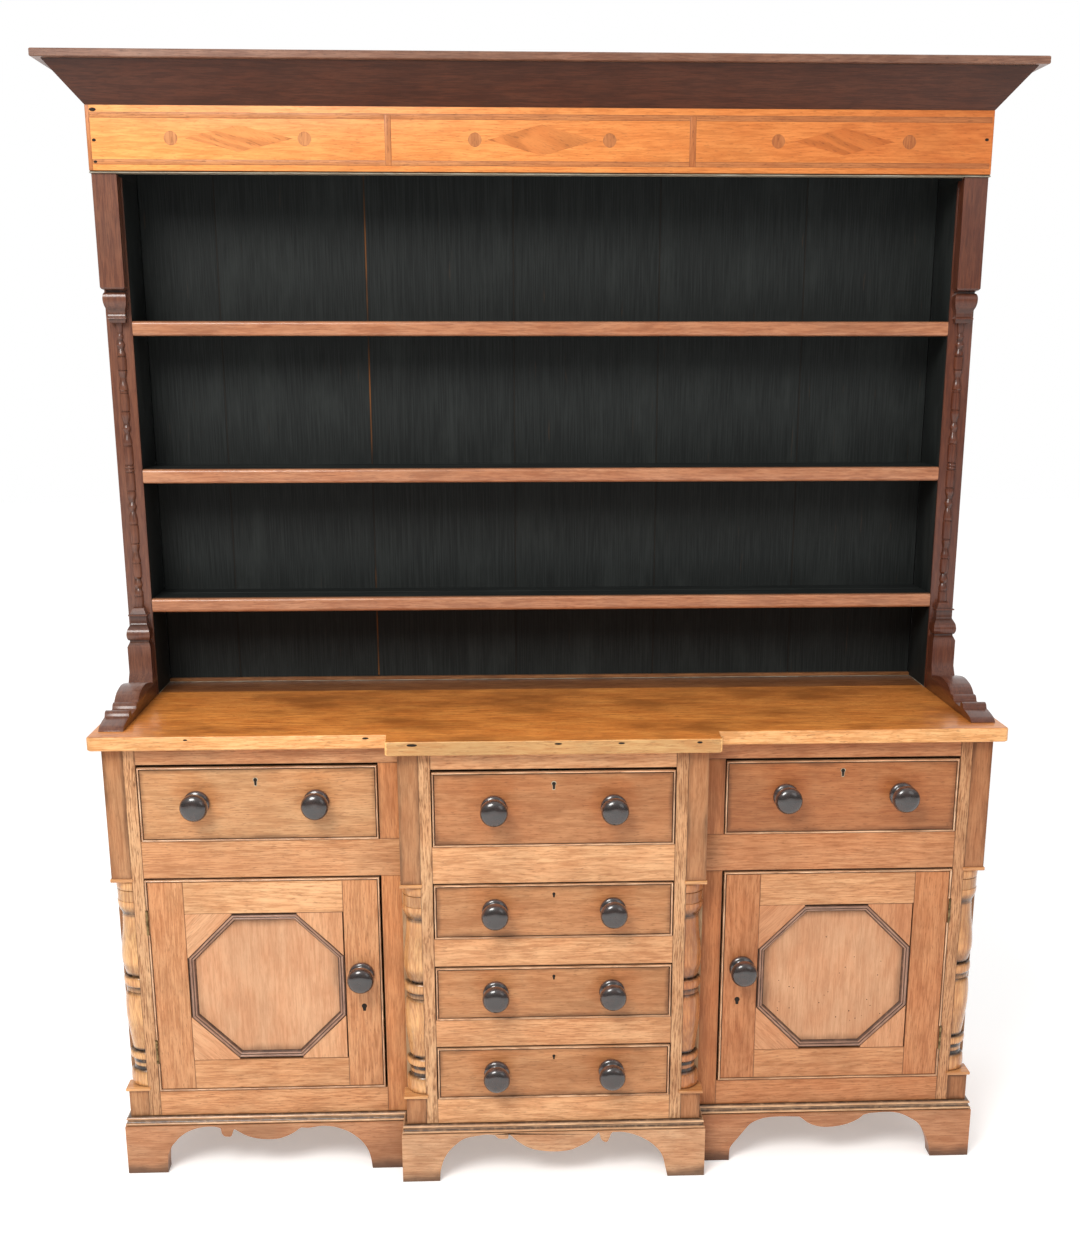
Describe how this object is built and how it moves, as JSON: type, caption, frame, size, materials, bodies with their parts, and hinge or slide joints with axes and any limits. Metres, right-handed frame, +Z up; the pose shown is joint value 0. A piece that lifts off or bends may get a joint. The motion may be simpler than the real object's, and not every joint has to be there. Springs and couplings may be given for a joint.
{
  "type": "kitchen dresser",
  "caption": "Breakfront kitchen dresser: open plate rack with a moulded cornice over a base of drawers and panelled cupboards, with quarter columns and a shaped plinth.",
  "frame": {"origin": "on the floor, under the middle of the dresser's bounding box", "axes": "+Z up, -Y towards the front that the drawers open to, +X to the viewer's right"},
  "size_m": [1.848, 0.601, 2.104],
  "materials": {
    "oak": "waxed golden oak",
    "column_oak": "waxed yellow oak",
    "worktop_oak": "polished amber oak",
    "raw_oak": "unfinished oak",
    "frieze_oak": "waxed light oak with inlay",
    "rack_oak": "stained reddish brown oak",
    "shelf_oak": "stained oak with a black top",
    "cornice_oak": "dark stained oak",
    "black_paint": "matt black paint on wood",
    "knob_wood": "polished near-black turned wood",
    "brass": "aged"
  },
  "bodies": {
    "root": {"base_back": "raw_oak", "centre_dust_board_1": "raw_oak", "centre_dust_board_2": "raw_oak", "centre_face_frame": "oak", "cornice": "cornice_oak", "floor_board": "raw_oak", "frieze": "frieze_oak", "inner_left_column": "column_oak", "inner_right_column": "column_oak", "left_door_hinge_lower": "brass", "left_door_hinge_upper": "brass", "left_end": "oak", "left_face_frame": "oak", "left_partition": "oak", "left_standard": "rack_oak", "outer_left_column": "column_oak", "outer_right_column": "column_oak", "plinth": "oak", "rack_back": "black_paint", "right_door_hinge_lower": "brass", "right_door_hinge_upper": "brass", "right_end": "oak", "right_face_frame": "oak", "right_partition": "oak", "right_standard": "rack_oak", "shelf_1": "shelf_oak", "shelf_2": "shelf_oak", "shelf_3": "shelf_oak", "upper_dust_board": "raw_oak", "worktop": "worktop_oak"},
    "left_drawer": {"left_drawer_box": "raw_oak", "left_drawer_front": "oak", "left_drawer_knob_left": "knob_wood", "left_drawer_knob_right": "knob_wood"},
    "right_drawer": {"right_drawer_box": "raw_oak", "right_drawer_front": "oak", "right_drawer_knob_left": "knob_wood", "right_drawer_knob_right": "knob_wood"},
    "centre_drawer_1": {"centre_drawer_1_box": "raw_oak", "centre_drawer_1_front": "oak", "centre_drawer_1_knob_left": "knob_wood", "centre_drawer_1_knob_right": "knob_wood"},
    "centre_drawer_2": {"centre_drawer_2_box": "raw_oak", "centre_drawer_2_front": "oak", "centre_drawer_2_knob_left": "knob_wood", "centre_drawer_2_knob_right": "knob_wood"},
    "centre_drawer_3": {"centre_drawer_3_box": "raw_oak", "centre_drawer_3_front": "oak", "centre_drawer_3_knob_left": "knob_wood", "centre_drawer_3_knob_right": "knob_wood"},
    "centre_drawer_4": {"centre_drawer_4_box": "raw_oak", "centre_drawer_4_front": "oak", "centre_drawer_4_knob_left": "knob_wood", "centre_drawer_4_knob_right": "knob_wood"},
    "left_door": {"left_door_frame": "oak", "left_door_knob": "knob_wood", "left_door_panel": "oak"},
    "right_door": {"right_door_frame": "oak", "right_door_knob": "knob_wood", "right_door_panel": "oak"}
  },
  "joints": [
    {"name": "left_drawer_slide", "type": "slide", "parent": "root", "child": "left_drawer", "axis": [0, -1, 0], "range_m": [0, 0.3]},
    {"name": "right_drawer_slide", "type": "slide", "parent": "root", "child": "right_drawer", "axis": [0, -1, 0], "range_m": [0, 0.3]},
    {"name": "centre_drawer_1_slide", "type": "slide", "parent": "root", "child": "centre_drawer_1", "axis": [0, -1, 0], "range_m": [0, 0.3]},
    {"name": "centre_drawer_2_slide", "type": "slide", "parent": "root", "child": "centre_drawer_2", "axis": [0, -1, 0], "range_m": [0, 0.3]},
    {"name": "centre_drawer_3_slide", "type": "slide", "parent": "root", "child": "centre_drawer_3", "axis": [0, -1, 0], "range_m": [0, 0.3]},
    {"name": "centre_drawer_4_slide", "type": "slide", "parent": "root", "child": "centre_drawer_4", "axis": [0, -1, 0], "range_m": [0, 0.3]},
    {"name": "left_door_hinge", "type": "hinge", "parent": "root", "child": "left_door", "pos_m": [-0.7785, -0.19375, 0.1735], "axis": [0, 0, -1], "range_deg": [0, 100]},
    {"name": "right_door_hinge", "type": "hinge", "parent": "root", "child": "right_door", "pos_m": [0.7785, -0.19375, 0.1735], "axis": [0, 0, 1], "range_deg": [0, 100]}
  ]
}
